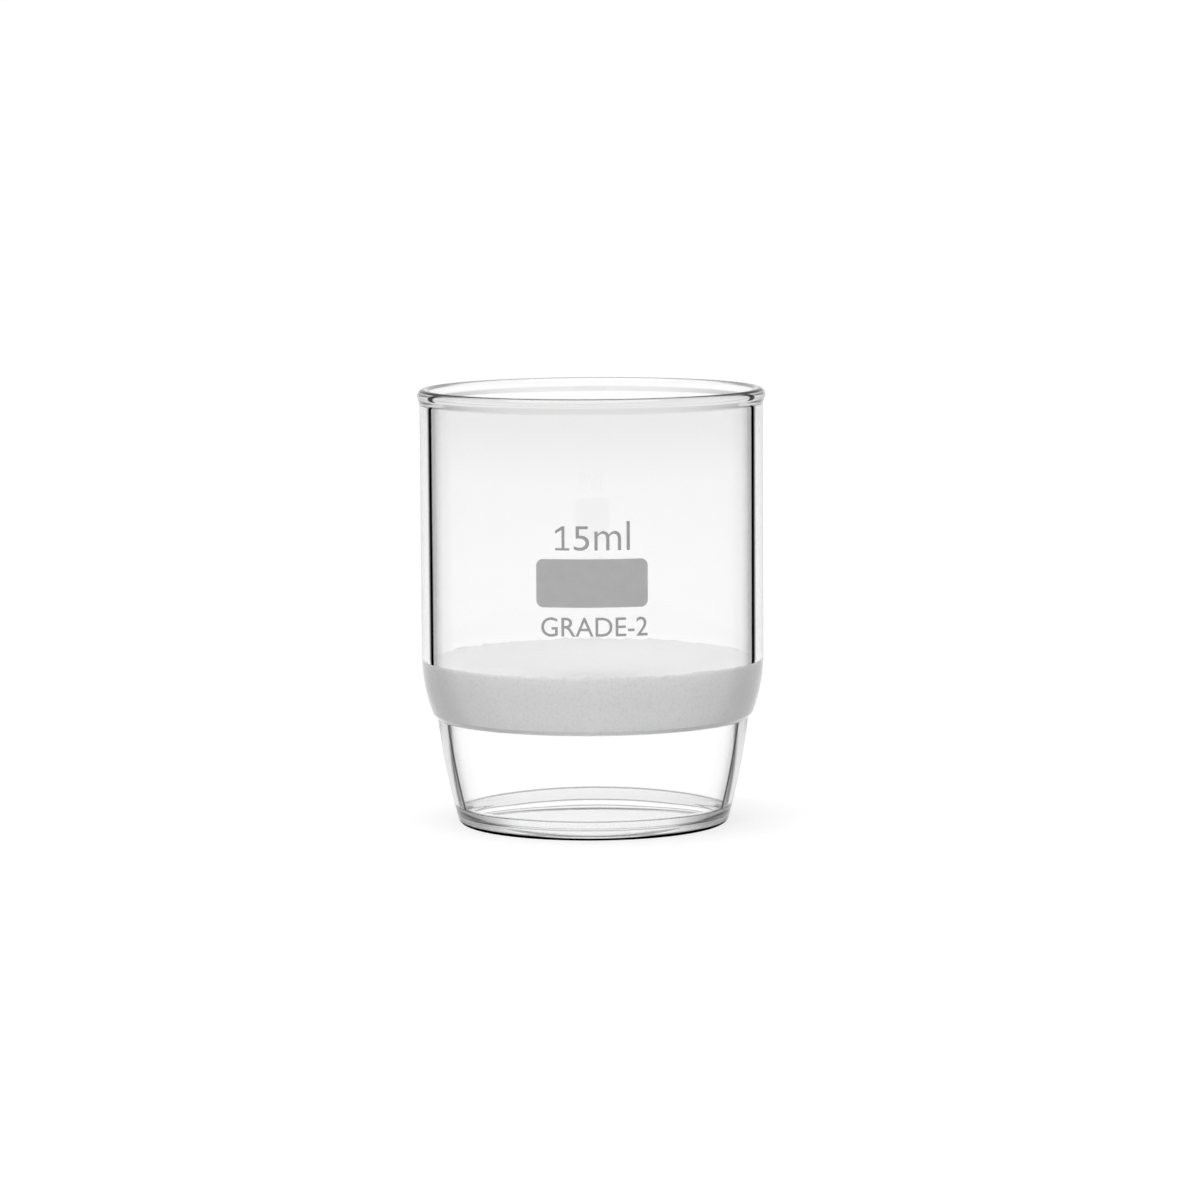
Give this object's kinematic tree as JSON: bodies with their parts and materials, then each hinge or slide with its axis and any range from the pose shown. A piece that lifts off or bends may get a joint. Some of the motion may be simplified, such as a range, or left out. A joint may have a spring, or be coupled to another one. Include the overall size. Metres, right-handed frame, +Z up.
{
  "type": "gooch crucible",
  "caption": "Small clear glass filter crucible with a beaded rim, a white sintered glass disc fused across it and an open tapered skirt below.",
  "frame": {"origin": "centre of the foot ring, on the surface that the crucible stands on", "axes": "+Z up along the crucible's axis from foot to rim; the blank marking patch faces -Y"},
  "size_m": [0.0314, 0.0314, 0.0394],
  "materials": {
    "clear_glass": "clear borosilicate glass, drawn and fire polished",
    "sintered_glass": "white sintered glass powder, matt and finely granular",
    "grey_enamel": "matt grey fired enamel that takes pencil"
  },
  "bodies": {
    "root": {"glass_body": "clear_glass", "sintered_disc": "sintered_glass", "marking_patch": "grey_enamel"}
  },
  "joints": []
}
